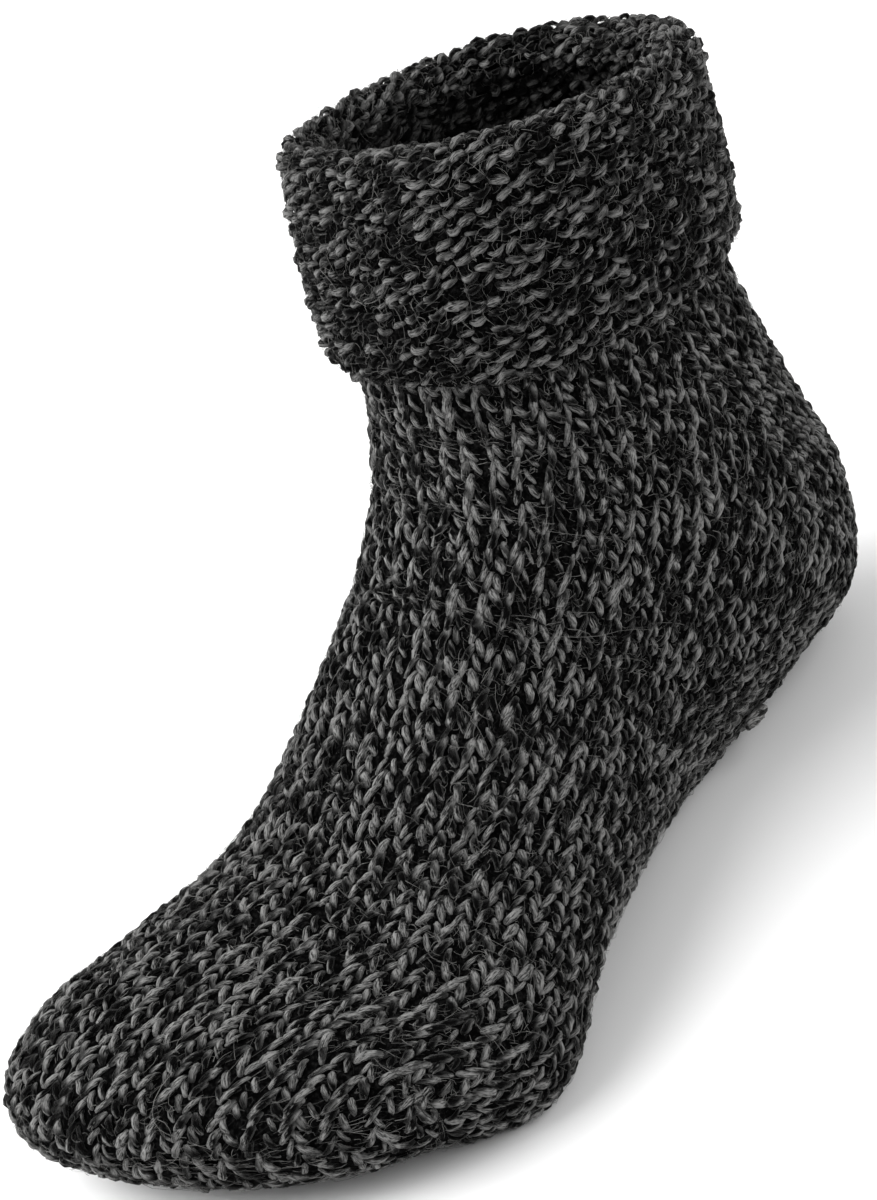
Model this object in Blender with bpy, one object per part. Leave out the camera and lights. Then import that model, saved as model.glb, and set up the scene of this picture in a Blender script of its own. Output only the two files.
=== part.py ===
"""Slipper sock for the left foot: a heavy knitted sock of marled wool, its top turned down as a cuff.

The sock stands empty on its sole, toe towards -X, outer side of the foot towards -Y and +Z up.
The origin is on the floor under the middle of the heel. All sizes are in metres.
"""

import math

import bmesh
import bpy
import numpy as np
from mathutils import Vector

# Sizes of the sock, outside the knitting
FOOT_LENGTH = 0.262
HEEL_REACH = 0.0545
ANKLE_HEIGHT = 0.100
LEG_HEIGHT = 0.182
LEG_DEPTH = 0.094
LEG_WIDTH = 0.081
HEEL_WIDTH = 0.090
BALL_WIDTH = 0.113
INSTEP_HEIGHT = 0.063
RIM_RISE = 0.007
FOOT_SWING = 0.029
SOLE_SOFTNESS = 0.0028

# Toe cap past the last rib of the foot
TOE_CAP = 0.0385
TOE_HEIGHT = 0.020
TOE_LINE_SHARE = 0.59
TOE_TAPER = 0.97

# Thickness of the knitting and the turned cuff
WALL = 0.0036
CUFF_WALL = 0.0065
CUFF_EDGE = 0.0054
CUFF_DROP = 0.048
CLEARANCE = 0.0003

# Loose end of yarn on the edge of the sole
KNOT_LENGTH = 0.0085
KNOT_WIDTH = 0.0050
KNOT_HEIGHT = 0.0028
KNOT_STATION = 0.153
KNOT_TURN = 127.0

# Mesh fineness
COLUMNS = 36
CUFF_RINGS = 7
FOOT_RINGS = 28
CAP_RINGS = 7
BEND_STEPS = 6

# Each table row is a rib of the sock: the front or top point, the back or bottom point, and how far
# the rib reaches to the outer and inner side of its middle. Its outline is a rounded square whose
# corners fill out as SQUARENESS grows from 2, an ellipse.
# Forward places are measured from the back of the heel.
SQUARENESS = 2.28

# Leg: forward in shares of LEG_DEPTH, height in shares of the leg above ANKLE_HEIGHT,
# outer and inner in shares of LEG_WIDTH.
LEG_RIBS = [
    # front, front height, back, back height, outer, inner
    (1.105, 0.955, 0.25, 0.776, 0.523, 0.477),
    (1.16, 0.615, 0.208, 0.446, 0.483, 0.487),
    (1.20, 0.223, 0.164, 0.082, 0.443, 0.457),
]

# Heel: forward in shares of FOOT_LENGTH, heights in shares of ANKLE_HEIGHT,
# outer and inner in shares of HEEL_WIDTH.
HEEL_RIBS = [
    # front, front height, back, back height, outer, inner
    (0.436, 1.11, 0.028, 0.683, 0.443, 0.435),
    (0.449, 1.01, 0.000, 0.376, 0.483, 0.470),
    (0.456, 0.985, 0.015, 0.12, 0.482, 0.474),
    (0.508, 0.866, 0.118, 0.00, 0.435, 0.440),
    (0.521, 0.843, 0.27, -0.05, 0.408, 0.417),
]

# Foot: forward in shares of FOOT_LENGTH, heights in shares of INSTEP_HEIGHT,
# outer and inner in shares of BALL_WIDTH.
FOOT_RIBS = [
    # front, front height, back, back height, outer, inner
    (0.616, 1.03, 0.407, 0.018, 0.398, 0.34),
    (0.695, 0.817, 0.577, 0.02, 0.495, 0.35),
    (0.792, 0.743, 0.738, -0.255, 0.585, 0.407),
    (0.87, 0.71, 0.841, -0.056, 0.56, 0.382),
]


def rib_points():
    """All ribs from the fold to the toe as rows of x and z in front, x and z behind, outer, inner."""
    leg = LEG_HEIGHT - ANKLE_HEIGHT
    rows = []
    for front, front_height, back, back_height, outer, inner in LEG_RIBS:
        rows.append((front * LEG_DEPTH, ANKLE_HEIGHT + front_height * leg,
                     back * LEG_DEPTH, ANKLE_HEIGHT + back_height * leg,
                     outer * LEG_WIDTH, inner * LEG_WIDTH))
    for table, height, width in ((HEEL_RIBS, ANKLE_HEIGHT, HEEL_WIDTH), (FOOT_RIBS, INSTEP_HEIGHT, BALL_WIDTH)):
        for front, front_height, back, back_height, outer, inner in table:
            rows.append((front * FOOT_LENGTH, front_height * height,
                         back * FOOT_LENGTH, back_height * height,
                         outer * width, inner * width))
    ribs = np.array(rows)
    ribs[:, [0, 2]] = HEEL_REACH - ribs[:, [0, 2]]
    return ribs


def rib_stations(ribs):
    """Distance of each rib from the first one, along the line through the ribs' middles."""
    middles = (ribs[:, 0:2] + ribs[:, 2:4]) / 2
    steps = np.linalg.norm(np.diff(middles, axis=0), axis=1)
    return np.concatenate([[0.0], np.cumsum(steps)])


def smooth_between(stations, rows, wanted):
    """Rows at the wanted stations, on smooth curves through the given rows."""
    slopes = np.gradient(rows, stations, axis=0)
    before = np.clip(np.searchsorted(stations, wanted, side="right") - 1, 0, len(stations) - 2)
    span = (stations[before + 1] - stations[before])[:, None]
    part = ((wanted - stations[before]) / span[:, 0])[:, None]
    return ((1 + 2 * part) * (1 - part) ** 2 * rows[before]
            + part * (1 - part) ** 2 * span * slopes[before]
            + part ** 2 * (3 - 2 * part) * rows[before + 1]
            + part ** 2 * (part - 1) * span * slopes[before + 1])


def even_stations(ribs, at_ribs, start, count):
    """Stations after the start up to the last rib, evenly apart on the longer of front and back."""
    fine = np.linspace(start, at_ribs[-1], 20 * count)
    rows = smooth_between(at_ribs, ribs, fine)
    front = np.linalg.norm(np.diff(rows[:, 0:2], axis=0), axis=1)
    back = np.linalg.norm(np.diff(rows[:, 2:4], axis=0), axis=1)
    reached = np.concatenate([[0.0], np.cumsum(np.maximum(front, back))])
    return np.interp(np.linspace(0.0, reached[-1], count + 1)[1:], reached, fine)


def rounded(turns):
    """Share of the way to the front and to the outer side, for each turn around a rib."""
    front = np.sign(np.cos(turns)) * np.abs(np.cos(turns)) ** (2 / SQUARENESS)
    outer = np.sign(np.sin(turns)) * np.abs(np.sin(turns)) ** (2 / SQUARENESS)
    return front, outer


def rib_rings(rows, stations, turns):
    """Rings of points around the ribs, before the sole is flattened."""
    front, outer = rounded(turns)
    middle = (rows[:, 0:2] + rows[:, 2:4]) / 2
    half = (rows[:, 0:2] - rows[:, 2:4]) / 2
    reach = np.where(outer > 0, rows[:, 4:5], rows[:, 5:6])
    rings = np.empty((len(rows), len(turns), 3))
    rings[:, :, 0] = middle[:, 0:1] + half[:, 0:1] * front
    rings[:, :, 1] = -outer * reach
    rise = RIM_RISE * np.clip(1 - stations / CUFF_DROP, 0, 1)[:, None]
    rings[:, :, 2] = middle[:, 1:2] + half[:, 1:2] * front + rise * outer
    return rings


def cap_rings(last, bends, turns):
    """Rings of the toe cap: the last rib's outline drawn in to a line across the toe."""
    front, outer = rounded(turns)
    reach = np.where(outer > 0, last[4], last[5])
    middle_x, middle_z = (last[0:2] + last[2:4]) / 2
    half_x, half_z = (last[0:2] - last[2:4]) / 2
    cut = math.sqrt(1 - TOE_TAPER ** 2)
    rings = np.empty((len(bends), len(turns), 3))
    for ring, bend in zip(rings, bends):
        low = math.cos(bend)
        side = TOE_LINE_SHARE + (1 - TOE_LINE_SHARE) * low
        edge = ((side * np.abs(outer)) ** SQUARENESS + (low * np.abs(front)) ** SQUARENESS) ** (1 / SQUARENESS)
        bulge = (np.sqrt(1 - (TOE_TAPER * edge) ** 2) - cut) / (1 - cut)
        ring[:, 0] = middle_x + half_x * front * low - TOE_CAP * bulge
        ring[:, 1] = -outer * reach * side
        ring[:, 2] = TOE_HEIGHT + (middle_z - TOE_HEIGHT) * low + half_z * front * low
    return rings


def settle(rings):
    """Swing the forefoot inwards and flatten what would lie below the floor."""
    swing_start = HEEL_REACH - 0.60 * FOOT_LENGTH
    share = np.clip((swing_start - rings[:, :, 0]) / (0.42 * FOOT_LENGTH), 0, None)
    rings[:, :, 1] += FOOT_SWING * share ** 2
    height = rings[:, :, 2]
    soft = (height + SOLE_SOFTNESS) ** 2 / (4 * SOLE_SOFTNESS)
    rings[:, :, 2] = np.where(height > SOLE_SOFTNESS, height, np.where(height < -SOLE_SOFTNESS, 0.0, soft))
    return rings


def outer_rings(turns, foot_rings=FOOT_RINGS, cap_count=CAP_RINGS):
    """Rings of the sock's outer face from the fold down the leg, along the foot and over the toe."""
    ribs = rib_points()
    at_ribs = rib_stations(ribs)
    under_cuff = np.linspace(0.0, CUFF_DROP - CUFF_EDGE / 2, CUFF_RINGS + 1)
    stations = np.concatenate([under_cuff, even_stations(ribs, at_ribs, under_cuff[-1], foot_rings)])
    tube = rib_rings(smooth_between(at_ribs, ribs, stations), stations, turns)
    bends = np.linspace(0.0, math.pi / 2, cap_count + 1)[1:]
    return settle(np.concatenate([tube, cap_rings(ribs[-1], bends, turns)]))


def point_on_sock(station, turn):
    """A place on the sock's outer face with its outward, along and around directions."""
    ribs = rib_points()
    step = 0.001
    stations = np.array([station, station + step])
    turns = np.array([turn, turn + step / (HEEL_WIDTH / 2)])
    rows = smooth_between(rib_stations(ribs), ribs, stations)
    corner = settle(rib_rings(rows, stations, turns))
    place = Vector(corner[0, 0])
    along = (Vector(corner[1, 0]) - place).normalized()
    around = (Vector(corner[0, 1]) - place).normalized()
    outward = along.cross(around).normalized()
    return place, outward, along, outward.cross(along)


def all_turns():
    return np.arange(COLUMNS) * 2 * math.pi / COLUMNS


def toe_line_column(column):
    """On the line across the toe, a column under the foot ends at the column above it."""
    return (COLUMNS // 2 - column) % COLUMNS if COLUMNS < 4 * column < 3 * COLUMNS else column


def bridge(mesh, upper, lower):
    """Triangles between two closed rings of vertices, always split the same way."""
    for column in range(COLUMNS):
        following = (column + 1) % COLUMNS
        corners = (upper[column], upper[following], lower[following], lower[column])
        for first, second, third in ((0, 1, 2), (0, 2, 3)):
            mesh.faces.new((corners[first], corners[second], corners[third]))


def skin(mesh, rings):
    """Vertices and faces of the sock's skin, open at the first ring and closed along the toe line."""
    loops = [[mesh.verts.new(point) for point in ring] for ring in rings[:-1]]
    line = {column: mesh.verts.new(rings[-1][column])
            for column in range(COLUMNS) if toe_line_column(column) == column}
    loops.append([line[toe_line_column(column)] for column in range(COLUMNS)])
    for upper, lower in zip(loops, loops[1:]):
        bridge(mesh, upper, lower)
    return loops


def outward_normals():
    """The outer rings and, at each of their points, the direction out of the knitting."""
    rings = outer_rings(all_turns())
    mesh = bmesh.new()
    loops = skin(mesh, rings)
    mesh.normal_update()
    normals = np.array([[tuple(vertex.normal) for vertex in loop] for loop in loops])
    mesh.free()
    middle = rings[0].mean(axis=0)
    if ((rings[0] - middle) * normals[0]).sum() < 0:
        normals = -normals
    return rings, normals


def material(name, colour, roughness):
    finish = bpy.data.materials.new(name)
    finish.use_nodes = True
    shader = finish.node_tree.nodes["Principled BSDF"]
    shader.inputs["Base Color"].default_value = (*colour, 1.0)
    shader.inputs["Roughness"].default_value = roughness
    shader.inputs["Metallic"].default_value = 0.0
    return finish


def add_object(name, mesh, finish):
    mesh.normal_update()
    bmesh.ops.recalc_face_normals(mesh, faces=mesh.faces)
    data = bpy.data.meshes.new(name)
    mesh.to_mesh(data)
    mesh.free()
    data.materials.append(finish)
    data.shade_smooth()
    piece = bpy.data.objects.new(name, data)
    bpy.context.collection.objects.link(piece)
    return piece


def sock_body(rings, normals):
    """Leg, heel, foot and toe knitted in one, with the foot's space inside and the top open."""
    mesh = bmesh.new()
    outside = skin(mesh, rings)
    inside = skin(mesh, rings - normals * WALL)
    bridge(mesh, outside[0], inside[0])
    return add_object("sock_body", mesh, material("knit_face", (0.075, 0.074, 0.073), 0.95))


def turned_cuff(rings, normals):
    """The top of the leg folded outwards: a roll over the wall's edge and a layer hanging outside it."""
    covered = CUFF_RINGS + 1
    sheet = rings[:covered]
    out = normals[:covered]
    drop = np.linspace(0.0, 1.0, covered)[:, None, None]
    thickness = CUFF_WALL + (CUFF_EDGE - CUFF_WALL) * drop
    inner_face = sheet + out * CLEARANCE
    outer_face = sheet + out * (CLEARANCE + thickness)

    up = sheet[0] - sheet[1]
    up /= np.linalg.norm(up, axis=1, keepdims=True)
    down = sheet[-1] - sheet[-2]
    down /= np.linalg.norm(down, axis=1, keepdims=True)

    radius = (WALL + CLEARANCE + CUFF_WALL) / 2
    centre = sheet[0] + out[0] * (radius - WALL) + up * CLEARANCE
    roll = [centre + (out[0] * math.cos(bend) + up * math.sin(bend)) * radius
            for bend in np.linspace(0.0, math.pi, BEND_STEPS + 1)]
    edge_radius = CUFF_EDGE / 2
    edge_centre = sheet[-1] + out[-1] * (CLEARANCE + edge_radius)
    edge = [edge_centre + (out[-1] * math.cos(bend) + down * math.sin(bend)) * edge_radius
            for bend in np.linspace(0.0, math.pi, BEND_STEPS)[1:-1]]

    under_roll = sheet[0] + out[0] * CLEARANCE + up * CLEARANCE
    profile = [under_roll, *inner_face[1:], *reversed(edge), *outer_face[:0:-1], *roll]
    mesh = bmesh.new()
    loops = [[mesh.verts.new(point) for point in ring] for ring in profile]
    for upper, lower in zip(loops, loops[1:] + loops[:1]):
        bridge(mesh, upper, lower)
    return add_object("turned_cuff", mesh, material("knit_back", (0.10, 0.099, 0.097), 0.97))


def yarn_knot():
    """The small lump where a yarn was joined, on the edge of the sole in front of the heel."""
    place, outward, along, around = point_on_sock(KNOT_STATION, math.radians(KNOT_TURN))
    mesh = bmesh.new()
    bmesh.ops.create_uvsphere(mesh, u_segments=12, v_segments=8, radius=0.5)
    centre = place + outward * (CLEARANCE + KNOT_HEIGHT / 2)
    for vertex in mesh.verts:
        share = vertex.co.copy()
        vertex.co = centre + along * (share.x * KNOT_LENGTH) + around * (share.y * KNOT_WIDTH) \
            + outward * (share.z * KNOT_HEIGHT)
    return add_object("yarn_knot", mesh, material("yarn_end", (0.13, 0.129, 0.127), 0.95))


def main():
    for old in list(bpy.data.objects):
        bpy.data.objects.remove(old, do_unlink=True)
    rings, normals = outward_normals()
    sock_body(rings, normals)
    turned_cuff(rings, normals)
    yarn_knot()


main()
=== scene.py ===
"""Looks of the slipper sock: every stitch of its marled knitting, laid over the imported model.

The toe points to -X, the outer side of the foot to -Y and +Z is up the leg. All sizes are in metres.
Each face of the knitting is a net: rows run along the sock, columns run across the wales, and at each
crossing there is a point and the direction that leads out of the cloth. Stitches are closed tubes
of yarn placed on a net by wale and course.
"""

import math

import bpy
import numpy as np
from mathutils import Matrix, Vector


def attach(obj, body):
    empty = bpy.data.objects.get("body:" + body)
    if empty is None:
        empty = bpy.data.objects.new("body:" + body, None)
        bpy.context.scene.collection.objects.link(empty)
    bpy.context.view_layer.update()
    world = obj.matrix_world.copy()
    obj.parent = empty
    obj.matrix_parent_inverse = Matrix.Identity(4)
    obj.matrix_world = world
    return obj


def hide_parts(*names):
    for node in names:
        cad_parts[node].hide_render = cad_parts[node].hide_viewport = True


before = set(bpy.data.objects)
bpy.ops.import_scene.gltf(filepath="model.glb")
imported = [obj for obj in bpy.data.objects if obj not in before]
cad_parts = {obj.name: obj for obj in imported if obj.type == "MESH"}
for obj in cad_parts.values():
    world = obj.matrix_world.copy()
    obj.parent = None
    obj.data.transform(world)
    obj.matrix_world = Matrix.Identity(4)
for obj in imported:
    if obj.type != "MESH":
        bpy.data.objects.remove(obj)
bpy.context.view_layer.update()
chance = np.random.default_rng(11)

# Form of the sock, the same named sizes as the part's source. A program fitted the ribs' shares
# and several of the sizes to the photo's outline, and its results were rounded.
FOOT_LENGTH = 0.262
HEEL_REACH = 0.0545
ANKLE_HEIGHT = 0.100
LEG_HEIGHT = 0.182
LEG_DEPTH = 0.094
LEG_WIDTH = 0.081
HEEL_WIDTH = 0.090
BALL_WIDTH = 0.113
INSTEP_HEIGHT = 0.063
RIM_RISE = 0.007
FOOT_SWING = 0.029
SOLE_SOFTNESS = 0.0028
TOE_CAP = 0.0385
TOE_HEIGHT = 0.020
TOE_LINE_SHARE = 0.59
TOE_TAPER = 0.97
WALL = 0.0036
CUFF_WALL = 0.0065
CUFF_EDGE = 0.0054
CUFF_DROP = 0.048
CLEARANCE = 0.0003
SQUARENESS = 2.28

LEG_RIBS = [
    # front, front height, back, back height, outer, inner
    (1.105, 0.955, 0.25, 0.776, 0.523, 0.477),
    (1.16, 0.615, 0.208, 0.446, 0.483, 0.487),
    (1.20, 0.223, 0.164, 0.082, 0.443, 0.457),
]
HEEL_RIBS = [
    # front, front height, back, back height, outer, inner
    (0.436, 1.11, 0.028, 0.683, 0.443, 0.435),
    (0.449, 1.01, 0.000, 0.376, 0.483, 0.470),
    (0.456, 0.985, 0.015, 0.12, 0.482, 0.474),
    (0.508, 0.866, 0.118, 0.00, 0.435, 0.440),
    (0.521, 0.843, 0.27, -0.05, 0.408, 0.417),
]
FOOT_RIBS = [
    # front, front height, back, back height, outer, inner
    (0.616, 1.03, 0.407, 0.018, 0.398, 0.34),
    (0.695, 0.817, 0.577, 0.02, 0.495, 0.35),
    (0.792, 0.743, 0.738, -0.255, 0.585, 0.407),
    (0.87, 0.71, 0.841, -0.056, 0.56, 0.382),
]

# Swing of the forefoot, in shares of the foot's length from the heel
SWING_START = 0.60
SWING_SPAN = 0.42

# Knitting
WALES = 42
HALF_WALES = WALES // 2
GUSSET_WALES = 8
COURSE = 0.0038
LEG_RADIUS = 0.00095
PURL_RADIUS = 0.00100
YARN_DEPTH = 0.0008
BACKING_DEPTH = 0.0010
TWIST = 0.0075
UNEVENNESS = 0.14
STITCH_SEAT = 0.0006
KNIT_UNDER_CUFF = 0.009
PURL_INSIDE_REACH = 0.062
LINING_INSET = 0.0011
SHEET_INSET = 0.0013
SPLIT_WALE = 10
KNOT_STRANDS = 6

# How much single stitches differ: along the yarn's path in shares of a wale or a course, in
# thickness as a share of the yarn's, and in height in metres
LEG_BEND_SPREAD = 0.075
LEG_SHIFT_SPREAD = 0.11
LEG_PLUMP_SPREAD = 0.20
LEG_HEIGHT_SPREAD = 0.00022
PURL_SHIFT_SPREAD = 0.16
PURL_WIDTH_SPREAD = 0.16
PURL_LEAN_SPREAD = 0.13
PURL_HEIGHT_SPREAD = 0.00030

# Lopsided stitches: strongly on the leg, less from the ankle's row on
LEG_LEAN = 0.90
LEAN_LOSS = 0.72
ANKLE_ROW = 88
LEAN_ROWS = 50

# Hairs: how long, how curled and how far they stand off the cloth
HAIR_RADIUS = 0.000045
LONG_HAIRS = {"length": 0.0085, "curl": 2.6, "lift": 0.0012, "seed": 3, "steps": 9}
SHORT_HAIRS = {"length": 0.0024, "curl": 1.8, "lift": 0.0007, "seed": 4, "steps": 4}

# Fineness of the nets and of the yarn
LEG_STEPS = 6
HALF_COLUMNS = 84
WALE_COLUMNS = 4
TUBE_ROWS = 170
CAP_ROWS = 26
HEEL_FIRST_ROW = 36
HEEL_LAST_ROW = 130


def rib_points():
    """All ribs from the fold to the toe as rows of x and z in front, x and z behind, outer, inner."""
    leg = LEG_HEIGHT - ANKLE_HEIGHT
    rows = []
    for front, front_height, back, back_height, outer, inner in LEG_RIBS:
        rows.append((front * LEG_DEPTH, ANKLE_HEIGHT + front_height * leg,
                     back * LEG_DEPTH, ANKLE_HEIGHT + back_height * leg,
                     outer * LEG_WIDTH, inner * LEG_WIDTH))
    lower = ((HEEL_RIBS, ANKLE_HEIGHT, HEEL_WIDTH), (FOOT_RIBS, INSTEP_HEIGHT, BALL_WIDTH))
    for table, height, width in lower:
        for front, front_height, back, back_height, outer, inner in table:
            rows.append((front * FOOT_LENGTH, front_height * height,
                         back * FOOT_LENGTH, back_height * height,
                         outer * width, inner * width))
    ribs = np.array(rows)
    ribs[:, [0, 2]] = HEEL_REACH - ribs[:, [0, 2]]
    return ribs


def rib_stations(ribs):
    """Distance of each rib from the first one, along the line through the ribs' middles."""
    middles = (ribs[:, 0:2] + ribs[:, 2:4]) / 2
    steps = np.linalg.norm(np.diff(middles, axis=0), axis=1)
    return np.concatenate([[0.0], np.cumsum(steps)])


def smooth_between(stations, rows, wanted):
    """Rows at the wanted stations, on smooth curves through the given rows."""
    slopes = np.gradient(rows, stations, axis=0)
    before = np.clip(np.searchsorted(stations, wanted, side="right") - 1, 0, len(stations) - 2)
    span = (stations[before + 1] - stations[before])[:, None]
    part = ((wanted - stations[before]) / span[:, 0])[:, None]
    return ((1 + 2 * part) * (1 - part) ** 2 * rows[before]
            + part * (1 - part) ** 2 * span * slopes[before]
            + part ** 2 * (3 - 2 * part) * rows[before + 1]
            + part ** 2 * (part - 1) * span * slopes[before + 1])


def rounded(turns):
    """Share of the way to the front and to the outer side, for each turn around a rib."""
    front = np.sign(np.cos(turns)) * np.abs(np.cos(turns)) ** (2 / SQUARENESS)
    outer = np.sign(np.sin(turns)) * np.abs(np.sin(turns)) ** (2 / SQUARENESS)
    return front, outer


def rib_rings(rows, stations, turns):
    """Rings of points around the ribs, before the sole is flattened."""
    front, outer = rounded(turns)
    middle = (rows[:, 0:2] + rows[:, 2:4]) / 2
    half = (rows[:, 0:2] - rows[:, 2:4]) / 2
    reach = np.where(outer > 0, rows[:, 4:5], rows[:, 5:6])
    rings = np.empty((len(rows), len(turns), 3))
    rings[:, :, 0] = middle[:, 0:1] + half[:, 0:1] * front
    rings[:, :, 1] = -outer * reach
    rise = RIM_RISE * np.clip(1 - stations / CUFF_DROP, 0, 1)[:, None]
    rings[:, :, 2] = middle[:, 1:2] + half[:, 1:2] * front + rise * outer
    return rings


def cap_points(last, low, front, outer):
    """Points of the toe cap and their ways out: the last rib's outline drawn in to a line across the toe.

    Low goes from 1 on the last rib to 0 on the line; front and outer are shares as in rounded.
    """
    reach = np.where(outer > 0, last[4], last[5])
    middle_x, middle_z = (last[0:2] + last[2:4]) / 2
    half_x, half_z = (last[0:2] - last[2:4]) / 2
    cut = math.sqrt(1 - TOE_TAPER ** 2)
    side = TOE_LINE_SHARE + (1 - TOE_LINE_SHARE) * low
    edge = ((side * np.abs(outer)) ** SQUARENESS + (low * np.abs(front)) ** SQUARENESS) ** (1 / SQUARENESS)
    bulge = (np.sqrt(1 - (TOE_TAPER * edge) ** 2) - cut) / (1 - cut)
    points = np.stack([middle_x + half_x * front * low - TOE_CAP * bulge,
                       -outer * reach * side,
                       TOE_HEIGHT + (middle_z - TOE_HEIGHT) * low + half_z * front * low], axis=-1)
    outward = unit(np.stack([-bulge / TOE_CAP, -outer * side / reach, front * low / half_z], axis=-1))
    return points, outward


def cap_rings(last, bends, turns):
    """Rings of the toe cap, from the last rib to the line across the toe."""
    front, outer = rounded(turns)
    return cap_points(last, np.cos(bends)[:, None], front, outer)[0]


def over_toe(last, laterals):
    """Rows over the toe and back beneath it, on which each wale keeps its place across the foot."""
    sweep = np.linspace(0.0, math.pi, 2 * CAP_ROWS + 1)[1:, None]
    lowest = np.clip((np.abs(laterals) - TOE_LINE_SHARE) / (1 - TOE_LINE_SHARE), 0, 1)
    low = np.cos(np.arccos(lowest) * np.sin(sweep))
    outer = np.clip(laterals / (TOE_LINE_SHARE + (1 - TOE_LINE_SHARE) * low), -1, 1)
    front = (1 - np.abs(outer) ** SQUARENESS) ** (1 / SQUARENESS) * np.sign(np.cos(sweep))
    points, outward = cap_points(last, low, front, outer)
    return np.concatenate([settle(points), outward], axis=2)


def settle(rings):
    """Swing the forefoot inwards and flatten what would lie below the floor."""
    swing_start = HEEL_REACH - SWING_START * FOOT_LENGTH
    share = np.clip((swing_start - rings[:, :, 0]) / (SWING_SPAN * FOOT_LENGTH), 0, None)
    rings[:, :, 1] += FOOT_SWING * share ** 2
    height = rings[:, :, 2]
    soft = (height + SOLE_SOFTNESS) ** 2 / (4 * SOLE_SOFTNESS)
    rings[:, :, 2] = np.where(height > SOLE_SOFTNESS, height, np.where(height < -SOLE_SOFTNESS, 0.0, soft))
    return rings


def evenly_round(ring, count):
    """Points at even distances along an open line of points, both ends kept."""
    reached = np.concatenate([[0.0], np.cumsum(np.linalg.norm(np.diff(ring, axis=0), axis=1))])
    wanted = np.linspace(0.0, reached[-1], count)
    return np.stack([np.interp(wanted, reached, ring[:, axis]) for axis in range(3)], axis=1)


def unit(vectors):
    return vectors / np.maximum(np.linalg.norm(vectors, axis=-1, keepdims=True), 1e-9)


def dense_rings(first_turn):
    """Close rings from the fold to the toe line, each once round from the given turn."""
    ribs = rib_points()
    at_ribs = rib_stations(ribs)
    stations = np.linspace(0.0, at_ribs[-1], TUBE_ROWS)
    turns = np.linspace(first_turn, first_turn + 2 * math.pi, 4 * HALF_COLUMNS + 1)
    tube = rib_rings(smooth_between(at_ribs, ribs, stations), stations, turns)
    bends = np.linspace(0.0, math.pi / 2, CAP_ROWS + 1)[1:]
    return settle(np.concatenate([tube, cap_rings(ribs[-1], bends, turns)])), stations


def outer_face():
    """The sock's outer face as rows from the fold to the toe line and columns all the way round.

    Columns start at the inner side, cross the front to the outer side, and come back behind.
    """
    dense, stations = dense_rings(-math.pi / 2)
    rows = []
    for ring in dense:
        front = evenly_round(ring[:2 * HALF_COLUMNS + 1], HALF_COLUMNS + 1)
        behind = evenly_round(ring[2 * HALF_COLUMNS:], HALF_COLUMNS + 1)
        rows.append(np.concatenate([front[:-1], behind[:-1]]))
    points = np.array(rows)
    along = np.gradient(points, axis=0)
    around = np.roll(points, -1, axis=1) - np.roll(points, 1, axis=1)
    outward = unit(np.cross(along, around))
    return points, outward, stations


def held_even(edge):
    """A half's edge on each ring, kept from spreading where the heel makes the rings wide."""
    rows = np.arange(len(edge))
    level = np.interp(rows, [HEEL_FIRST_ROW, HEEL_LAST_ROW], edge[[HEEL_FIRST_ROW, HEEL_LAST_ROW]])
    at_heel = (rows > HEEL_FIRST_ROW) & (rows < HEEL_LAST_ROW)
    return np.where(at_heel, np.sign(edge) * np.minimum(np.abs(edge), np.abs(level)), edge)


def half_net(first_turn):
    """A net over the front or the back half, with spare wales past both of its edges.

    Gives the net and, on each ring, the width of a wale, how far both edges are from the half's own
    middle, and how far they are from the middle of the opposite half. Last come the turns of the
    columns on the last rib, counted from the half's middle.
    """
    dense, _ = dense_rings(first_turn)
    dense = dense[:TUBE_ROWS]
    steps = np.linalg.norm(np.diff(dense, axis=1), axis=2)
    reached = np.concatenate([np.zeros((len(dense), 1)), np.cumsum(steps, axis=1)], axis=1)
    arcs = reached - reached[:, 2 * HALF_COLUMNS, None]
    low_edge = held_even(arcs[:, HALF_COLUMNS])
    high_edge = held_even(arcs[:, 3 * HALF_COLUMNS])
    width = (high_edge - low_edge) / HALF_WALES
    last_column = (HALF_WALES + GUSSET_WALES) * WALE_COLUMNS
    wales = np.arange(-GUSSET_WALES * WALE_COLUMNS, last_column + 1) / WALE_COLUMNS
    wanted = low_edge[:, None] + wales * width[:, None]
    points = np.array([[np.interp(row, arc, ring[:, axis]) for axis in range(3)]
                       for row, arc, ring in zip(wanted, arcs, dense)]).transpose(0, 2, 1)
    outward = unit(np.cross(np.gradient(points, axis=0), np.gradient(points, axis=1)))
    own = (-low_edge, high_edge)
    opposite = (low_edge - arcs[:, 0], arcs[:, -1] - high_edge)
    places = np.interp(wanted[-1], arcs[-1], np.linspace(-1.0, 1.0, arcs.shape[1]))
    return joined(points, outward), width, own, opposite, places * math.pi


def joined(points, outward):
    """A net: points and outward directions side by side."""
    return np.concatenate([points, outward], axis=2)


def closed_round(net):
    """The net with its first column repeated after its last one."""
    return np.concatenate([net, net[:, :1]], axis=1)


def on_net(net, rows, columns):
    """Points and outward directions at fractional rows and columns of a net."""
    row = np.clip(np.floor(rows).astype(int), 0, net.shape[0] - 2)
    column = np.clip(np.floor(columns).astype(int), 0, net.shape[1] - 2)
    down = (rows - row)[..., None]
    across = (columns - column)[..., None]
    found = ((1 - down) * ((1 - across) * net[row, column] + across * net[row, column + 1])
             + down * ((1 - across) * net[row + 1, column] + across * net[row + 1, column + 1]))
    return found[..., :3], unit(found[..., 3:])


def wale_lengths(net, column):
    """Length from the net's first row down to each row, along one column."""
    rows = np.arange(net.shape[0], dtype=float)
    line, _ = on_net(net, rows, np.full(len(rows), column))
    return np.concatenate([[0.0], np.cumsum(np.linalg.norm(np.diff(line, axis=0), axis=1))])


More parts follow.
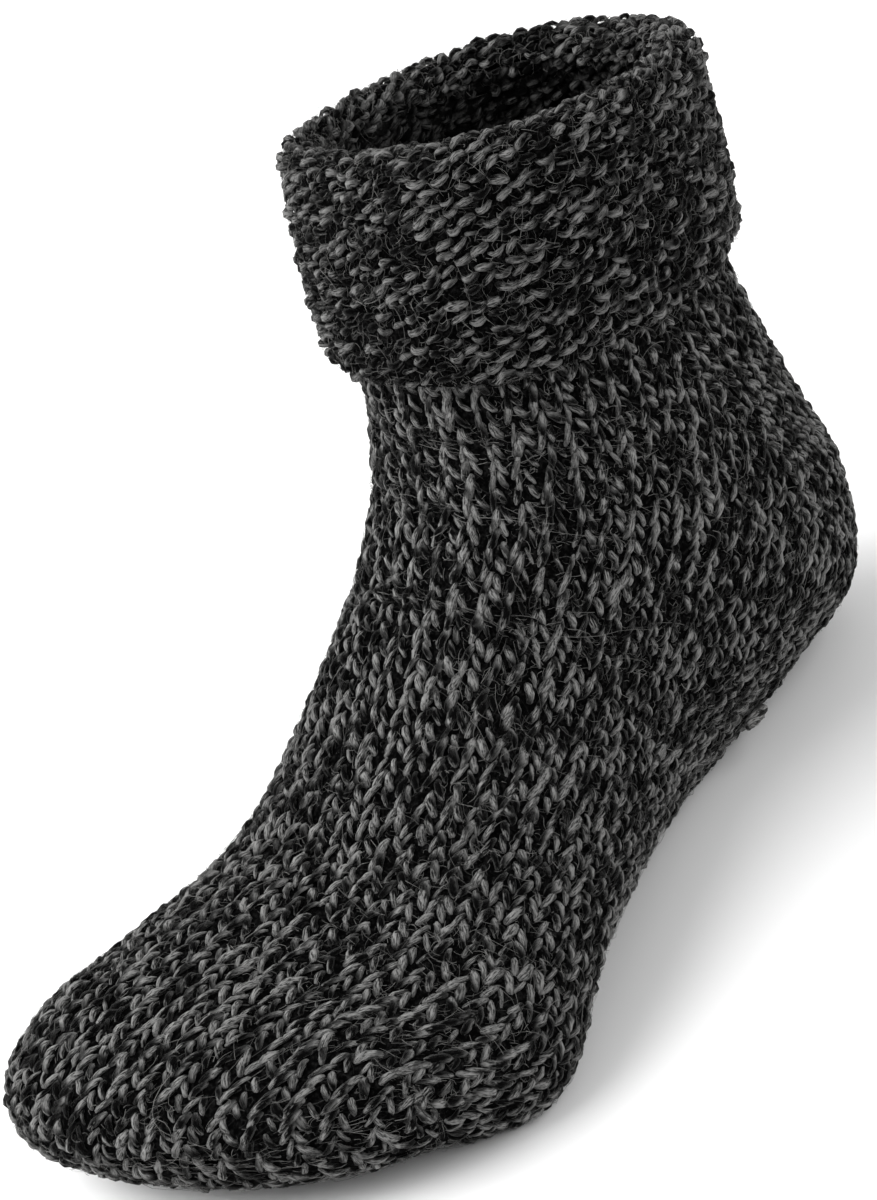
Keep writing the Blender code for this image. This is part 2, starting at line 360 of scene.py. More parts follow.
def wander(first, second, seed):
    """A slow wave over two directions, between about -1 and 1."""
    return (0.5 * np.sin(first + second * 0.7 + seed)
            + 0.3 * np.sin(first * 2.3 - second * 1.9 + 2.1 * seed)
            + 0.2 * np.sin(first * 4.1 + second * 3.7 + 3.7 * seed))


class Yarn:
    """Middle lines of many short lengths of yarn, gathered before they are made into one mesh."""

    def __init__(self):
        self.lines = []
        self.ways_out = []
        self.widths = []
        self.heights = []

    def add(self, lines, ways_out, widths, heights):
        self.lines.append(lines)
        self.ways_out.append(ways_out)
        self.widths.append(widths)
        self.heights.append(heights)

    def tubes(self):
        return tuple(np.concatenate(rows) for rows in (self.lines, self.ways_out, self.widths, self.heights))


def stitch_legs(net, wales, lopsided, room):
    """Knit side: each stitch shows two legs in a V whose point looks to the toe.

    Wales are counted from the half's low edge, and room gives how many there are on each row.
    """
    yarn = Yarn()
    part = np.linspace(0.0, 1.0, LEG_STEPS)
    rise = np.sin(math.pi * part) ** 0.8
    rows_of = np.arange(net.shape[0], dtype=float)
    for wale in wales:
        middle = (wale + 0.5 + GUSSET_WALES) * WALE_COLUMNS
        lengths = wale_lengths(net, middle)
        count = int(lengths[-1] / COURSE)
        down = (np.arange(count) + 0.5 + chance.uniform(-0.06, 0.06, count)) * COURSE
        rows_at = np.interp(down, lengths, rows_of)
        low_room, high_room = (np.interp(rows_at, rows_of, spare) for spare in room)
        down = down[(wale + 0.6 > -low_room) & (wale + 0.4 < HALF_WALES + high_room)]
        count = len(down)
        if count == 0:
            continue
        lean = lopsided(np.interp(down, lengths, rows_of))
        for side in (-1, 1):
            steep = lean * (side > 0)
            flat = lean * (side < 0)
            top = side * (0.45 - 0.10 * steep)
            point = side * (0.08 + 0.12 * steep + 0.03 * flat)
            start = -0.66 - 0.22 * steep + 0.16 * flat
            end = 0.58 + 0.12 * steep - 0.12 * flat
            bend = chance.normal(0.0, LEG_BEND_SPREAD, (2, count))
            across = (top + bend[0])[:, None] + (point - top + bend[1])[:, None] * part ** 1.15
            along = start[:, None] + (end - start)[:, None] * part
            along += chance.normal(0.0, LEG_SHIFT_SPREAD, (count, 1))
            at_length = down[:, None] + along * COURSE
            rows = np.interp(at_length, lengths, rows_of)
            drift = 0.10 * wander(at_length / 0.02, wale * 0.8, 1.0)
            points, out = on_net(net, rows, middle + (across + drift) * WALE_COLUMNS)
            plump = np.clip(chance.normal(1.0, LEG_PLUMP_SPREAD, (count, 1)), 0.5, 1.45)
            plump = plump * (1 - 0.14 * flat)[:, None]
            height = -YARN_DEPTH - STITCH_SEAT + 0.0010 * rise
            height = height + chance.normal(0.0, LEG_HEIGHT_SPREAD, (count, 1))
            width = LEG_RADIUS * plump * (0.40 + 0.60 * np.sin(math.pi * (0.08 + 0.84 * part)) ** 0.7)
            yarn.add(points + out * height[..., None], out, width, 0.75 * width)
    return yarn


def purl_bumps(net, first_length, steps):
    """Wrong side: each stitch shows a loop that arches up and, beside it, one that hangs down."""
    yarn = Yarn()
    columns = net.shape[1] - 1
    pitch = columns / WALES
    part = np.linspace(-1.0, 1.0, steps)
    rows_of = np.arange(net.shape[0], dtype=float)
    for wale in range(WALES):
        for arch in (0, 1):
            middle = (wale + 0.5 * arch + 0.25) * pitch
            lengths = wale_lengths(net, middle)
            count = int((lengths[-1] - 0.4 * COURSE - first_length) / COURSE)
            shift = chance.normal(0.0, PURL_SHIFT_SPREAD, count)
            down = first_length + (np.arange(count) + 0.5 * arch + shift) * COURSE
            spread = np.clip(chance.normal(1.0, PURL_WIDTH_SPREAD, (count, 1)), 0.6, 1.4)
            lean = chance.normal(-0.15, PURL_LEAN_SPREAD, (count, 1))
            across = 0.27 * part * spread
            hang = (1 - 2 * arch) * 0.14 * (part ** 2 - 0.35) + lean * part
            at_length = down[:, None] + hang * COURSE
            rows = np.interp(at_length, lengths, rows_of)
            drift = 0.24 * wander(at_length / 0.013, middle / pitch * 1.1, 5.0)
            around = np.mod(middle + (across + drift) * pitch, columns)
            points, out = on_net(net, rows, around)
            rise = np.cos(0.5 * math.pi * part) ** 0.8
            height = -YARN_DEPTH - STITCH_SEAT + 0.0013 * rise
            height = height + chance.normal(0.0, PURL_HEIGHT_SPREAD, (count, 1))
            plump = np.clip(chance.normal(1.0, PURL_WIDTH_SPREAD, (count, 1)), 0.6, 1.45)
            width = PURL_RADIUS * plump * (0.35 + 0.65 * np.cos(0.46 * math.pi * part) ** 0.6)
            yarn.add(points + out * height[..., None], out, 0.95 * width, 0.78 * width)
    return yarn


def stray_hairs(net, count, length, curl, lift, seed, steps):
    """Fine hairs that lie over the cloth in loose curves."""
    luck = np.random.default_rng(seed)
    yarn = Yarn()
    start_row = luck.uniform(2, net.shape[0] - 3, count)
    start_column = luck.uniform(0, net.shape[1] - 1, count)
    part = np.linspace(0.0, 1.0, steps)
    reach = length * luck.lognormal(0.0, 0.45, count)[:, None]
    heading = luck.uniform(0, 2 * math.pi, count)[:, None] + luck.normal(0.0, curl, count)[:, None] * part
    row_size = np.linalg.norm(np.diff(net[:, :, :3], axis=0), axis=2).mean()
    column_size = np.linalg.norm(np.diff(net[:, :, :3], axis=1), axis=2).mean()
    step = reach / (steps - 1)
    rows = start_row[:, None] + np.cumsum(np.cos(heading), axis=1) * step / row_size
    columns = start_column[:, None] + np.cumsum(np.sin(heading), axis=1) * step / column_size
    rows = np.clip(rows, 0, net.shape[0] - 1.001)
    columns = np.clip(columns, 0, net.shape[1] - 1.001)
    points, out = on_net(net, rows, columns)
    height = lift * luck.uniform(0.0, 1.0, (count, 1)) ** 2 * np.sin(math.pi * part) ** 0.7
    height += luck.normal(0.0, 0.00015, (count, 1)) - 0.0001
    width = HAIR_RADIUS * luck.uniform(0.7, 1.3, (count, 1)) * (1.0 - 0.6 * part)
    yarn.add(points + out * height[..., None], out, width, width)
    return yarn


def placed(name, mesh, finish):
    """The mesh as a smooth object of the scene, with its finish."""
    mesh.shade_smooth()
    mesh.materials.append(finish)
    piece = bpy.data.objects.new(name, mesh)
    bpy.context.collection.objects.link(piece)
    return piece


def tone_strands(mesh, strands, per_strand):
    """Give each strand one random tone between 0 and 1, on all its vertices."""
    tone = mesh.attributes.new("tone", "FLOAT", "POINT")
    tones = np.repeat(chance.uniform(0, 1, strands), per_strand)
    tone.data.foreach_set("value", tones.astype(np.float32))


def yarn_mesh(name, yarn, sides, finish):
    """One mesh with a closed, tapered tube for each length of yarn."""
    lines, ways_out, widths, heights = yarn.tubes()
    tubes, steps, _ = lines.shape
    along = unit(np.gradient(lines, axis=1))
    beside = unit(np.cross(ways_out, along))
    above = np.cross(along, beside)
    turn = np.arange(sides) * 2 * math.pi / sides
    ring = (np.cos(turn)[:, None] * (beside * widths[..., None])[:, :, None]
            + np.sin(turn)[:, None] * (above * heights[..., None])[:, :, None])
    ring *= np.clip(chance.normal(1.0, UNEVENNESS, (tubes, steps, sides, 1)), 0.7, 1.3)
    skin = (lines[:, :, None] + ring).reshape(tubes, steps * sides, 3)
    first = lines[:, 0] - along[:, 0] * widths[:, 0, None] * 0.6
    last = lines[:, -1] + along[:, -1] * widths[:, -1, None] * 0.6
    vertices = np.concatenate([skin, first[:, None], last[:, None]], axis=1)
    vertices[:, :, 2] = np.maximum(vertices[:, :, 2], 0.0)

    near = np.arange(steps - 1)[:, None] * sides + np.arange(sides)
    beyond = np.arange(steps - 1)[:, None] * sides + (np.arange(sides) + 1) % sides
    quads = np.stack([near, beyond, beyond + sides, near + sides], axis=-1).reshape(-1, 4)
    rim = np.arange(sides)
    after = (rim + 1) % sides
    start_cap = np.stack([after, rim, np.full(sides, steps * sides)], axis=-1)
    end = (steps - 1) * sides
    end_cap = np.stack([end + rim, end + after, np.full(sides, steps * sides + 1)], axis=-1)

    step_lengths = np.linalg.norm(np.diff(lines, axis=1), axis=2)
    grown = np.concatenate([np.zeros((tubes, 1)), np.cumsum(step_lengths, axis=1)], axis=1)
    u_steps = grown / TWIST + chance.uniform(0, 1, (tubes, 1))
    step_of = np.repeat(np.arange(steps - 1), sides)
    side_of = np.tile(np.arange(sides), steps - 1)
    near_u = u_steps[:, step_of]
    beyond_u = u_steps[:, step_of + 1]
    quad_u = np.stack([near_u, near_u, beyond_u, beyond_u], axis=-1)
    quad_v = np.stack([side_of, side_of + 1, side_of + 1, side_of], axis=-1) / sides
    quad_share = np.stack([step_of, step_of, step_of + 1, step_of + 1], axis=-1) / (steps - 1)
    cap_v = np.stack([rim + 1, rim, rim + 0.5], axis=-1) / sides
    end_v = np.stack([rim, rim + 1, rim + 0.5], axis=-1) / sides

    loops_of_tube = np.concatenate([quads.ravel(), start_cap.ravel(), end_cap.ravel()])
    per_tube = vertices.shape[1]
    loops = (loops_of_tube[None] + np.arange(tubes)[:, None] * per_tube).ravel()
    sizes = np.concatenate([np.full(len(quads), 4), np.full(2 * sides, 3)])
    totals = np.tile(sizes, tubes)
    u = np.concatenate([quad_u.reshape(tubes, -1), np.repeat(u_steps[:, :1], 3 * sides, axis=1),
                        np.repeat(u_steps[:, -1:], 3 * sides, axis=1)], axis=1)
    v = np.concatenate([quad_v.ravel(), cap_v.ravel(), end_v.ravel()])
    share = np.concatenate([quad_share.ravel(), np.zeros(3 * sides), np.ones(3 * sides)])

    mesh = bpy.data.meshes.new(name)
    mesh.vertices.add(tubes * per_tube)
    mesh.vertices.foreach_set("co", vertices.ravel().astype(np.float32))
    mesh.loops.add(len(loops))
    mesh.loops.foreach_set("vertex_index", loops.astype(np.int32))
    mesh.polygons.add(len(totals))
    mesh.polygons.foreach_set("loop_start", np.concatenate([[0], np.cumsum(totals)[:-1]]).astype(np.int32))
    mesh.polygons.foreach_set("loop_total", totals.astype(np.int32))
    mesh.update(calc_edges=True)

    plies = mesh.uv_layers.new(name="yarn")
    yarn_uv = np.stack([u, np.broadcast_to(v, u.shape)], axis=-1)
    plies.data.foreach_set("uv", yarn_uv.ravel().astype(np.float32))
    grid = math.ceil(math.sqrt(tubes))
    cell = np.arange(tubes)
    inset = 0.06
    cell_u = ((cell % grid)[:, None] + inset + (1 - 2 * inset) * share) / grid
    cell_v = ((cell // grid)[:, None] + inset + (1 - 2 * inset) * v) / grid
    atlas = mesh.uv_layers.new(name="OFBake")
    atlas.data.foreach_set("uv", np.stack([cell_u, cell_v], axis=-1).ravel().astype(np.float32))
    mesh.uv_layers.active = plies
    tone_strands(mesh, tubes, per_tube)
    return placed(name, mesh, finish)


def hair_mesh(name, yarn, finish):
    """One mesh with a flat, tapered ribbon for each hair."""
    lines, ways_out, widths, _ = yarn.tubes()
    hairs, steps, _ = lines.shape
    along = unit(np.gradient(lines, axis=1))
    beside = unit(np.cross(ways_out, along))
    tilt = chance.uniform(-1.2, 1.2, (hairs, 1, 1))
    flat = (beside * np.cos(tilt) + np.cross(along, beside) * np.sin(tilt)) * widths[..., None]
    vertices = np.stack([lines - flat, lines + flat], axis=2)
    vertices[..., 2] = np.maximum(vertices[..., 2], 0.0)
    first = np.arange(hairs * steps).reshape(hairs, steps)[:, :-1].reshape(-1, 1) * 2
    mesh = bpy.data.meshes.new(name)
    mesh.from_pydata(vertices.reshape(-1, 3).tolist(), [], (first + [0, 1, 3, 2]).tolist())
    mesh.update()
    grid = math.ceil(math.sqrt(hairs))
    cell = np.arange(hairs)[:, None]
    inset = 0.1
    used = 1 - 2 * inset
    share = np.arange(steps - 1) / (steps - 1)
    low_v = (cell // grid + inset + used * share) / grid
    high_v = low_v + used / (steps - 1) / grid
    low_u = np.broadcast_to((cell % grid + inset) / grid, low_v.shape)
    high_u = low_u + used / grid
    corners = np.stack([low_u, low_v, high_u, low_v, high_u, high_v, low_u, high_v], axis=-1)
    mesh.uv_layers.new(name="OFBake").data.foreach_set("uv", corners.ravel().astype(np.float32))
    tone_strands(mesh, hairs, 2 * steps)
    return placed(name, mesh, finish)


def sheet_mesh(name, profile, finish):
    """A closed skin from a loop of rings: rows of the profile are rings, joined last to first."""
    rows, columns, _ = profile.shape
    index = np.arange(rows * columns).reshape(rows, columns)
    below = np.roll(index, -1, axis=0)
    beside = np.roll(index, -1, axis=1)
    faces = np.stack([index, beside, np.roll(below, -1, axis=1), below], axis=-1).reshape(-1, 4)
    mesh = bpy.data.meshes.new(name)
    mesh.from_pydata(profile.reshape(-1, 3).tolist(), [], faces.tolist())
    mesh.update()
    return placed(name, mesh, finish)


def dressed(piece, slot, *nodes):
    """Fix a finished piece to the sock and hide the imported parts it stands for."""
    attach(piece, "root")
    if nodes:
        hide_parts(*nodes)
    return piece


# Finishes


class Nodes:
    """Short ways to add and join shader nodes in one material."""

    def __init__(self, name):
        self.material = bpy.data.materials.new(name)
        self.material.use_nodes = True
        self.tree = self.material.node_tree
        self.shader = self.tree.nodes["Principled BSDF"]

    def add(self, kind, **settings):
        node = self.tree.nodes.new(kind)
        for key, value in settings.items():
            setattr(node, key, value)
        return node

    def link(self, source, target):
        self.tree.links.new(source, target)

    def math(self, operation, first, second=0.0, clamp=False):
        node = self.add("ShaderNodeMath", operation=operation, use_clamp=clamp)
        for socket, value in zip(node.inputs, (first, second)):
            if isinstance(value, (int, float)):
                socket.default_value = value
            else:
                self.link(value, socket)
        return node.outputs[0]

    def between(self, value, low, high, new_low=0.0, new_high=1.0):
        node = self.add("ShaderNodeMapRange", interpolation_type="SMOOTHSTEP")
        self.link(value, node.inputs["Value"])
        numbers = (("From Min", low), ("From Max", high), ("To Min", new_low), ("To Max", new_high))
        for name, number in numbers:
            node.inputs[name].default_value = number
        return node.outputs["Result"]

    def noise(self, vector, scale, detail=2.0, roughness=0.5):
        node = self.add("ShaderNodeTexNoise")
        self.link(vector, node.inputs["Vector"])
        node.inputs["Scale"].default_value = scale
        node.inputs["Detail"].default_value = detail
        node.inputs["Roughness"].default_value = roughness
        return node.outputs["Fac"]

    def mix(self, share, first, second):
        node = self.add("ShaderNodeMix", data_type="RGBA")
        self.link(share, node.inputs["Factor"])
        sockets = [socket for socket in node.inputs if socket.type == "RGBA"]
        for socket, value in zip(sockets, (first, second)):
            if isinstance(value, tuple):
                socket.default_value = (*value, 1.0)
            else:
                self.link(value, socket)
        return [socket for socket in node.outputs if socket.type == "RGBA"][0]

    def bump(self, height, strength, distance):
        node = self.add("ShaderNodeBump")
        node.inputs["Strength"].default_value = strength
        node.inputs["Distance"].default_value = distance
        self.link(height, node.inputs["Height"])
        return node.outputs["Normal"]


def marled_yarn(name, dark, light, grey_share, haze, blotch):
    """Two-ply wool, one ply black and one grey, twisted; the mix drifts from stitch to stitch, and each tube
    carries painted shade down its sides.
    """
    kit = Nodes(name)
    yarn = kit.add("ShaderNodeUVMap", uv_map="yarn")
    apart = kit.add("ShaderNodeSeparateXYZ")
    kit.link(yarn.outputs["UV"], apart.inputs[0])
    tone = kit.add("ShaderNodeAttribute", attribute_name="tone").outputs["Fac"]
    place = kit.add("ShaderNodeTexCoord").outputs["Object"]
    drift = kit.noise(place, 70.0, 1.0)
    cluster = kit.noise(place, 170.0, 2.0)

    fibre_place = kit.add("ShaderNodeCombineXYZ")
    along = kit.math("MULTIPLY", kit.math("ADD", apart.outputs["X"], apart.outputs["Y"]), 3.5)
    kit.link(along, fibre_place.inputs["X"])
    kit.link(kit.math("MULTIPLY", apart.outputs["Y"], 11.0), fibre_place.inputs["Y"])
    kit.link(kit.math("MULTIPLY", tone, 40.0), fibre_place.inputs["Z"])
    fibres = kit.noise(fibre_place.outputs[0], 1.6, 4.0, 0.65)

    turns = kit.math("ADD", apart.outputs["X"], apart.outputs["Y"])
    turns = kit.math("ADD", turns, kit.math("MULTIPLY", kit.math("SUBTRACT", fibres, 0.5), 0.9))
    wave = kit.math("SINE", kit.math("MULTIPLY", turns, 2 * math.pi))
    bias = kit.math("ADD", kit.math("MULTIPLY", kit.math("SUBTRACT", tone, 0.5), 1.5),
                    kit.math("MULTIPLY", kit.math("SUBTRACT", drift, 0.5), 2.7 * blotch))
    bias = kit.math("ADD", bias, kit.math("MULTIPLY", kit.math("SUBTRACT", cluster, 0.5), 4.4 * blotch))
    grey = kit.between(kit.math("ADD", wave, bias), -0.85 - grey_share, 0.95 - grey_share)
    shade = kit.between(fibres, 0.37, 0.65, 0.12, 1.38)
    # Painted shade: each yarn tube's colour darkens towards its sides and underside and brightens a little
    # on its top, with a fibre-ragged edge between.
    outer_side = kit.math("SINE", kit.math("MULTIPLY", apart.outputs["Y"], 2 * math.pi))
    ragged = kit.math("ADD", outer_side, kit.math("MULTIPLY", kit.math("SUBTRACT", fibres, 0.5), 2.4))
    painted_tube_shade = kit.between(ragged, -0.1, 1.0, 0.20, 1.10)
    grey_fibres_and_painted_shade = kit.math("MULTIPLY", kit.math("MULTIPLY", grey, shade), painted_tube_shade, clamp=True)
    colour = kit.mix(grey_fibres_and_painted_shade, dark, light)
    kit.link(colour, kit.shader.inputs["Base Color"])
    kit.shader.inputs["Roughness"].default_value = 0.92
    kit.shader.inputs["Specular IOR Level"].default_value = 0.02
    kit.shader.inputs["Sheen Weight"].default_value = haze
    kit.shader.inputs["Sheen Roughness"].default_value = 0.3
    kit.shader.inputs["Sheen Tint"].default_value = (0.50, 0.50, 0.49, 1.0)
    ply_height = kit.math("MULTIPLY", kit.math("ABSOLUTE", wave), 0.7)
    height = kit.math("ADD", ply_height, kit.math("MULTIPLY", fibres, 0.6))
    kit.link(kit.bump(height, 0.8, 0.00035), kit.shader.inputs["Normal"])
    return kit.material


def shaded_wool(name, colour, lighter, fineness):
    """Wool without stitches of its own, between the stitches or deep inside."""
    kit = Nodes(name)
    place = kit.add("ShaderNodeTexCoord").outputs["Object"]
    fibres = kit.noise(place, fineness, 3.0, 0.7)
    kit.link(kit.mix(kit.between(fibres, 0.45, 0.75), colour, lighter), kit.shader.inputs["Base Color"])
    kit.shader.inputs["Roughness"].default_value = 0.95
    kit.shader.inputs["Specular IOR Level"].default_value = 0.01
    kit.link(kit.bump(fibres, 0.8, 0.0006), kit.shader.inputs["Normal"])
    return kit.material


def hair_wool(name, dark, light):
    """Single fibres, some of the black ply and some of the grey one."""
    kit = Nodes(name)
    tone = kit.add("ShaderNodeAttribute", attribute_name="tone").outputs["Fac"]
    kit.link(kit.mix(kit.between(tone, 0.20, 1.0), dark, light), kit.shader.inputs["Base Color"])
    kit.shader.inputs["Roughness"].default_value = 0.8
    kit.shader.inputs["Specular IOR Level"].default_value = 0.1
    return kit.material


BLACK_PLY = (0.0016, 0.0016, 0.0016)
face_yarn = marled_yarn("marled_yarn_face", BLACK_PLY, (0.210, 0.209, 0.205),
                        grey_share=-0.02, haze=0.24, blotch=1.25)
back_yarn = marled_yarn("marled_yarn_back", BLACK_PLY, (0.176, 0.175, 0.172),
                        grey_share=0.02, haze=0.20, blotch=1.75)
# A darker copy of the marled yarn for the inside of the leg: its grey ply at about a third, painted shade.
inside_yarn_painted_shade = marled_yarn("marled_yarn_inside_painted_shade", BLACK_PLY, (0.062, 0.0616, 0.0605),
                          grey_share=-0.05, haze=0.02, blotch=1.3)
end_yarn = marled_yarn("yarn_end_grey", (0.0100, 0.0100, 0.0098), (0.280, 0.278, 0.272),
                       grey_share=0.90, haze=0.10, blotch=1.0)
# Near black: the dark wool between the stitches, darkened further as painted shade in the gaps.
gap_wool_and_painted_shade = shaded_wool("dark_wool_and_painted_shade_in_gaps", (0.0010, 0.0010, 0.0010),
                               (0.011, 0.0109, 0.0107), fineness=900.0)
lining_wool = shaded_wool("wool_inside", (0.0060, 0.0060, 0.0059),
                          (0.110, 0.109, 0.107), fineness=330.0)
hair = hair_wool("stray_wool_hair", (0.0030, 0.0030, 0.0030), (0.175, 0.173, 0.168))

# The two faces of the knitting

face, face_out, stations = outer_face()
under_cuff_row = int(np.searchsorted(stations, CUFF_DROP - KNIT_UNDER_CUFF))
front_half, wale_width, _, (inner_rest, outer_rest), turns_at_toe = half_net(-math.pi)
back_half, _, (back_to_outer, back_to_inner), _, _ = half_net(0.0)
laterals = rounded(np.clip(turns_at_toe, -math.pi / 2, math.pi / 2))[1]
front_net = np.concatenate([front_half, over_toe(rib_points()[-1], laterals)])[under_cuff_row:]
back_net = back_half[under_cuff_row:]


def spare_wales(to_back_middle, back_edge):
    """How many wales fit between the two halves on each row of the front net."""
    spare = (to_back_middle - back_edge) / wale_width
    return np.concatenate([spare, np.zeros(2 * CAP_ROWS)])[under_cuff_row:]


def ankle_lean(rows):
    """How lopsided the stitches are: strongly on the leg and ankle, hardly at the toe."""
    share = np.clip((rows + under_cuff_row - ANKLE_ROW) / LEAN_ROWS, 0, 1)
    return LEG_LEAN - LEAN_LOSS * share


def half_piece(name, net, wales, room, sides=6):
    """The stitches of some of a net's wales."""
    legs = stitch_legs(net, wales, ankle_lean, room)
    return dressed(yarn_mesh(name, legs, sides, face_yarn), "knit_face")


between_halves = (spare_wales(inner_rest, back_to_inner), spare_wales(outer_rest, back_to_outer))
no_room = (np.zeros(len(back_net)), np.zeros(len(back_net)))
half_piece("stitches_front_inner", front_net, range(-GUSSET_WALES, SPLIT_WALE), between_halves)
half_piece("stitches_front_outer", front_net, range(SPLIT_WALE, HALF_WALES + GUSSET_WALES), between_halves)
half_piece("stitches_back_outer", back_net, range(SPLIT_WALE), no_room, sides=5)
half_piece("stitches_back_inner", back_net, range(SPLIT_WALE, HALF_WALES), no_room, sides=5)

# Backing under the stitches, from the fold to the toe: its near-black outer side is the dark wool showing
# between the stitches and painted shade in those gaps
outside = (face - face_out * BACKING_DEPTH)[::2, ::2]
inside = (face - face_out * (WALL - LINING_INSET))[::2, ::2]
backing = sheet_mesh("backing", np.concatenate([outside, inside[::-1]]), gap_wool_and_painted_shade)
backing.data.materials.append(lining_wool)
inner_faces = np.arange(len(backing.data.polygons)) >= len(outside) * outside.shape[1]
backing.data.polygons.foreach_set("material_index", inner_faces.astype(np.int32))
dressed(backing, "knit_face", "sock_body")

# The wrong side of the knitting: up the inside of the leg, over the fold and down the cuff's outside
cuff_length = CUFF_DROP - CUFF_EDGE / 2
cuff_rows = stations <= cuff_length
sheet = face[:len(stations)][cuff_rows]
sheet_out = face_out[:len(stations)][cuff_rows]
drop = (stations[cuff_rows] / cuff_length)[:, None, None]
thickness = CUFF_WALL + (CUFF_EDGE - CUFF_WALL) * drop
inside_rows = slice(1, int(np.searchsorted(stations, PURL_INSIDE_REACH)))
inner_leg = face[inside_rows] - face_out[inside_rows] * WALL
up = unit(sheet[0] - sheet[1])
down = unit(sheet[-1] - sheet[-2])
fold_radius = (WALL + CLEARANCE + CUFF_WALL) / 2
fold_centre = sheet[0] + sheet_out[0] * (fold_radius - WALL) + up * CLEARANCE
edge_radius = CUFF_EDGE / 2
edge_centre = sheet[-1] + sheet_out[-1] * (CLEARANCE + edge_radius)


def bent_rings(toward, upward, bends):
    """Directions around a rounded edge, for each bend from toward to upward."""
    return np.array([toward * math.cos(bend) + upward * math.sin(bend) for bend in bends])


fold_out = bent_rings(-sheet_out[0], up, np.linspace(0.0, math.pi, 13)[1:-1])
edge_out = bent_rings(sheet_out[-1], down, np.linspace(0.0, math.pi * 0.8, 7)[1:])
purl_points = np.concatenate([
    inner_leg[::-1],
    fold_centre + fold_out * fold_radius,
    sheet + sheet_out * (CLEARANCE + thickness),
    edge_centre + edge_out * edge_radius,
])
purl_out = np.concatenate([-face_out[inside_rows][::-1], fold_out, sheet_out, edge_out])
purl_net = closed_round(joined(purl_points, purl_out))
fold_row = len(inner_leg)

inside_bumps = purl_bumps(purl_net[:fold_row + 4], first_length=0.001, steps=5)
dressed(yarn_mesh("purl_inside_leg", inside_bumps, 5, inside_yarn_painted_shade), "knit_back")
cuff_bumps = purl_bumps(purl_net[fold_row - 1:], first_length=0.0, steps=6)
dressed(yarn_mesh("purl_cuff", cuff_bumps, 6, back_yarn), "knit_back", "turned_cuff")

cuff_skin = np.concatenate([
    fold_centre + fold_out * (fold_radius - SHEET_INSET),
    sheet + sheet_out * (CLEARANCE + thickness - SHEET_INSET),
    edge_centre + edge_out * (edge_radius - SHEET_INSET / 2),
    (sheet + sheet_out * CLEARANCE * 2)[::-1],
])
# Its outer side, near black, is the dark wool between the cuff's stitches and painted shade in those gaps.
cuff_backing = sheet_mesh("cuff_backing", cuff_skin, gap_wool_and_painted_shade)
dressed(cuff_backing, "knit_back")

# Stray hairs
hairy_nets = [
    # name, net, slot, long hairs, short hairs
    ("foot", front_net, "knit_face", 1200, 22000),
    ("back", back_net, "knit_face", 500, 7000),
    ("cuff", purl_net[fold_row - 3:], "knit_back", 900, 14000),
]
for name, net, slot, long_count, short_count in hairy_nets:
    dressed(hair_mesh(f"hairs_{name}", stray_hairs(net, long_count, **LONG_HAIRS), hair), slot)
    dressed(hair_mesh(f"fuzz_{name}", stray_hairs(net, short_count, **SHORT_HAIRS), hair), slot)

# The loose knot of yarn at the edge of the sole: short strands laid along the knot's solid
knot_points = np.array([vertex.co[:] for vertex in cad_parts["yarn_knot"].data.vertices])
knot_middle = knot_points.mean(axis=0)
knot_axes = np.linalg.svd(knot_points - knot_middle, full_matrices=False)[2]
knot_half = np.abs((knot_points - knot_middle) @ knot_axes.T).max(axis=0)
knot = Yarn()
part = np.linspace(-1.0, 1.0, 9)
for strand in range(KNOT_STRANDS):
    swirl = strand * 2 * math.pi / KNOT_STRANDS + 1.5 * part + chance.uniform(-0.4, 0.4)
    spread = 0.55 * (1 - 0.4 * part ** 2)
    places = np.stack([0.82 * part, spread * np.cos(swirl), spread * np.sin(swirl)], axis=1) * knot_half
    line = knot_middle + places @ knot_axes
    width = LEG_RADIUS * (1 - 0.35 * part ** 2)
    knot.add(line[None], unit(line - knot_middle + 1e-6)[None], width[None], width[None])
dressed(yarn_mesh("yarn_end", knot, 6, end_yarn), "yarn_end", "yarn_knot")

# Floor, light and camera

FLOOR_SIZE = 6.0
FLOOR_DROP = 0.0002
ROOM_LIGHT = 0.62
bpy.ops.mesh.primitive_plane_add(size=FLOOR_SIZE, location=(0, 0, -FLOOR_DROP))
floor = bpy.context.object
floor.name = "floor"
pale = Nodes("pale_floor")
pale.shader.inputs["Base Color"].default_value = (0.90, 0.90, 0.90, 1.0)
pale.shader.inputs["Roughness"].default_value = 0.9
pale.shader.inputs["Specular IOR Level"].default_value = 0.1
floor.data.materials.append(pale.material)

world = bpy.data.worlds.new("studio")
world.use_nodes = True
world.node_tree.nodes["Background"].inputs["Color"].default_value = (1.0, 1.0, 1.0, 1.0)
world.node_tree.nodes["Background"].inputs["Strength"].default_value = ROOM_LIGHT
bpy.context.scene.world = world
bpy.context.scene.view_settings.view_transform = "Standard"

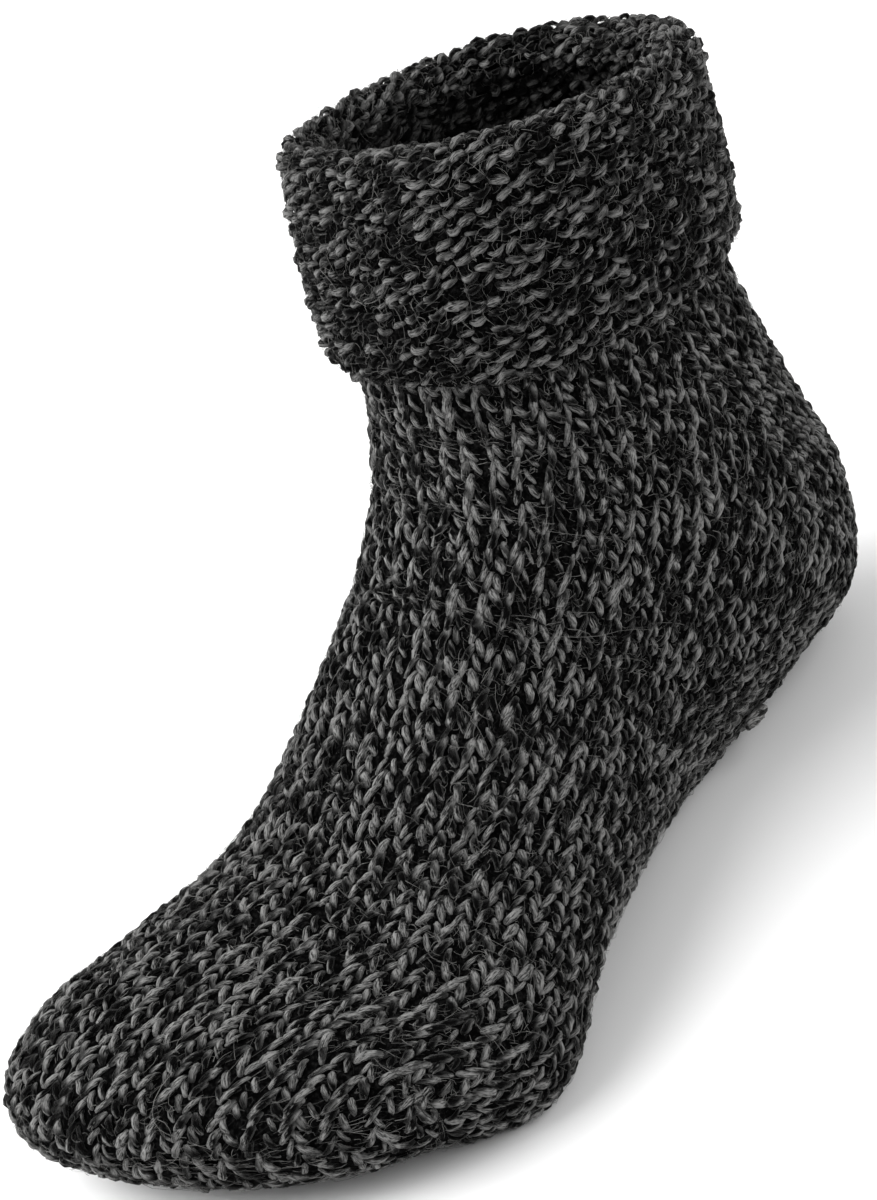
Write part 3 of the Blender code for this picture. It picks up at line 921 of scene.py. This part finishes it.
# The camera's place, angles and lens come from the same fit as the sock's form
TARGET = Vector((-0.0745, 0.0, 0.0791))
CAMERA_AZIMUTH = math.radians(-44.149)
CAMERA_ELEVATION = math.radians(31.091)
CAMERA_ROLL = math.radians(-18.088)
CAMERA_DISTANCE = 1.2304
FOCAL_PIXELS = 5463.6
SHIFT_PIXELS = (-10.91, 7.14)
PHOTO_HEIGHT = 1200
SENSOR_HEIGHT = 36.0
LAMPS = [
    # name, azimuth and elevation in degrees, distance, size, power
    ("key", -122, 50, 1.6, 1.2, 26.0),
    ("fill", 22, 35, 1.8, 1.4, 15.0),
    ("edge", -158, 22, 1.6, 1.0, 20.0),
]


def soft_light(name, azimuth, elevation, distance, size, power):
    """A square lamp aimed at the sock."""
    lamp = bpy.data.lights.new(name, "AREA")
    lamp.size = size
    lamp.energy = power
    around, above = math.radians(azimuth), math.radians(elevation)
    way = Vector((math.sin(around) * math.cos(above), -math.cos(around) * math.cos(above), math.sin(above)))
    place = bpy.data.objects.new(name, lamp)
    place.location = TARGET + way * distance
    place.rotation_euler = way.to_track_quat("Z", "Y").to_euler()
    bpy.context.collection.objects.link(place)


for lamp_row in LAMPS:
    soft_light(*lamp_row)


def photo_camera():
    """The photograph's camera: its place, its roll and its frame."""
    back = Vector((math.sin(CAMERA_AZIMUTH) * math.cos(CAMERA_ELEVATION),
                   -math.cos(CAMERA_AZIMUTH) * math.cos(CAMERA_ELEVATION), math.sin(CAMERA_ELEVATION)))
    right = Vector((math.cos(CAMERA_AZIMUTH), math.sin(CAMERA_AZIMUTH), 0.0))
    upward = back.cross(right)
    rolled_right = right * math.cos(CAMERA_ROLL) + upward * math.sin(CAMERA_ROLL)
    rolled_up = upward * math.cos(CAMERA_ROLL) - right * math.sin(CAMERA_ROLL)
    lens = bpy.data.cameras.new("photo_camera")
    lens.sensor_fit = "VERTICAL"
    lens.sensor_height = SENSOR_HEIGHT
    lens.lens = FOCAL_PIXELS * SENSOR_HEIGHT / PHOTO_HEIGHT
    lens.shift_x = -SHIFT_PIXELS[0] / PHOTO_HEIGHT
    lens.shift_y = SHIFT_PIXELS[1] / PHOTO_HEIGHT
    camera = bpy.data.objects.new("photo_camera", lens)
    turned = Matrix((rolled_right, rolled_up, back)).transposed().to_4x4()
    camera.matrix_world = Matrix.Translation(TARGET + back * CAMERA_DISTANCE) @ turned
    bpy.context.collection.objects.link(camera)
    bpy.context.scene.camera = camera


photo_camera()
